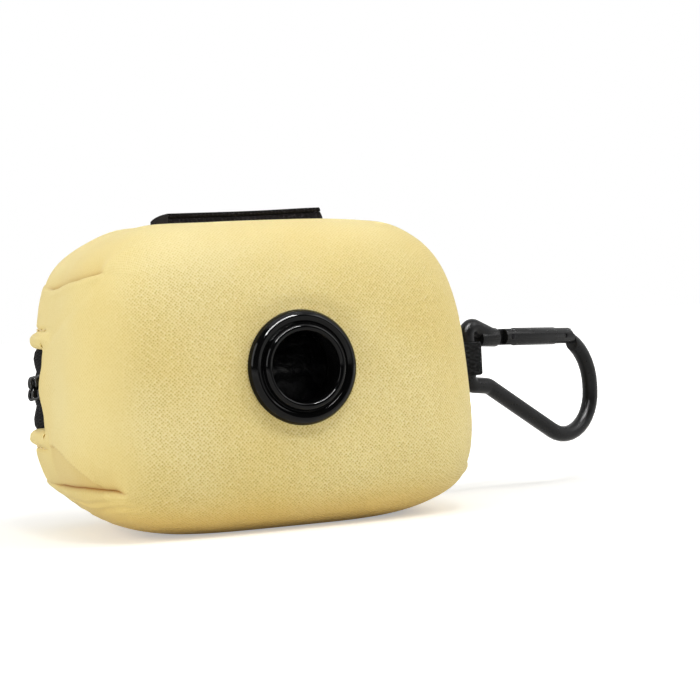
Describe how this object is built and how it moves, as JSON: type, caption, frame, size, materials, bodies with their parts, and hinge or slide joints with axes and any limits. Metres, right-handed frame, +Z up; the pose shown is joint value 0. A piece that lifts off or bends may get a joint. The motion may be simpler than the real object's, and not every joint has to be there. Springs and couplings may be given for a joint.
{
  "type": "dog waste bag dispenser",
  "caption": "Rounded neoprene pouch for a roll of dog waste bags, with a zipper, a front grommet outlet, a top strap and a small sprung carabiner on an end tab.",
  "frame": {"origin": "middle of the flat base that the pouch stands on, under the middle of its length and depth", "axes": "+X along the pouch to the carabiner end, -Y out of the front with the grommet, +Z up to the strap"},
  "size_m": [0.1222, 0.0571, 0.0584],
  "materials": {
    "neoprene": "pale yellow knit-faced neoprene, matt, with a fine dimpled weave",
    "zipper_tape": "black woven zipper tape",
    "zipper_coil": "black nylon coil",
    "zipper_metal": "black lacquered metal",
    "grommet": "glossy black",
    "webbing": "black woven webbing",
    "carabiner": "black anodised, satin",
    "rivet": "black oxide",
    "spring_steel": "bare steel",
    "hook_and_loop": "black hook-and-loop tape",
    "cardboard": "wound cardboard",
    "bag_film": "black plastic film, wound, with soft wrinkles"
  },
  "bodies": {
    "pouch": {"neoprene_panel": "neoprene", "zipper_tape_upper": "zipper_tape", "zipper_tape_lower": "zipper_tape", "zipper_coil_upper": "zipper_coil", "zipper_coil_lower": "zipper_coil", "zipper_top_stops": "zipper_metal", "grommet_flange": "grommet", "grommet_washer": "grommet", "end_tab": "webbing", "strap_base": "hook_and_loop"},
    "slider": {"zipper_slider": "zipper_metal"},
    "pull": {"zipper_pull": "zipper_metal"},
    "carabiner": {"carabiner_frame": "carabiner"},
    "gate": {"carabiner_gate": "carabiner", "gate_rivet": "rivet", "gate_latch_pin": "rivet", "gate_spring": "spring_steel", "gate_plunger": "spring_steel"},
    "flap": {"strap_flap": "hook_and_loop"},
    "roll": {"roll_core": "cardboard", "bag_roll": "bag_film"}
  },
  "joints": [
    {"name": "slider_travel", "type": "slide", "parent": "pouch", "child": "slider", "axis": [-1, 0, 0], "range_m": [0, 0.034]},
    {"name": "pull_swing", "type": "hinge", "parent": "slider", "child": "pull", "pos_m": [0.018, 0.02696, 0.0276], "axis": [0, 0, -1], "range_deg": [0, 170]},
    {"name": "carabiner_swing", "type": "hinge", "parent": "pouch", "child": "carabiner", "pos_m": [0.0465, 0.002, 0.0276], "axis": [0, 0, 1], "range_deg": [-110, 70]},
    {"name": "gate_open", "type": "hinge", "parent": "carabiner", "child": "gate", "pos_m": [0.05782, 0.00612, 0.03135], "axis": [-0.342, 0.9397, 0], "range_deg": [0, 25], "stiffness_Nm_per_rad": 0.02, "springref_deg": -20.05},
    {"name": "flap_lift", "type": "hinge", "parent": "pouch", "child": "flap", "pos_m": [-0.0137, 0.004, 0.05748], "axis": [0, -1, 0], "range_deg": [0, 150]},
    {"name": "roll_spin", "type": "hinge", "parent": "pouch", "child": "roll", "pos_m": [0, 0, 0.02279], "axis": [1, 0, 0], "continuous": true}
  ]
}
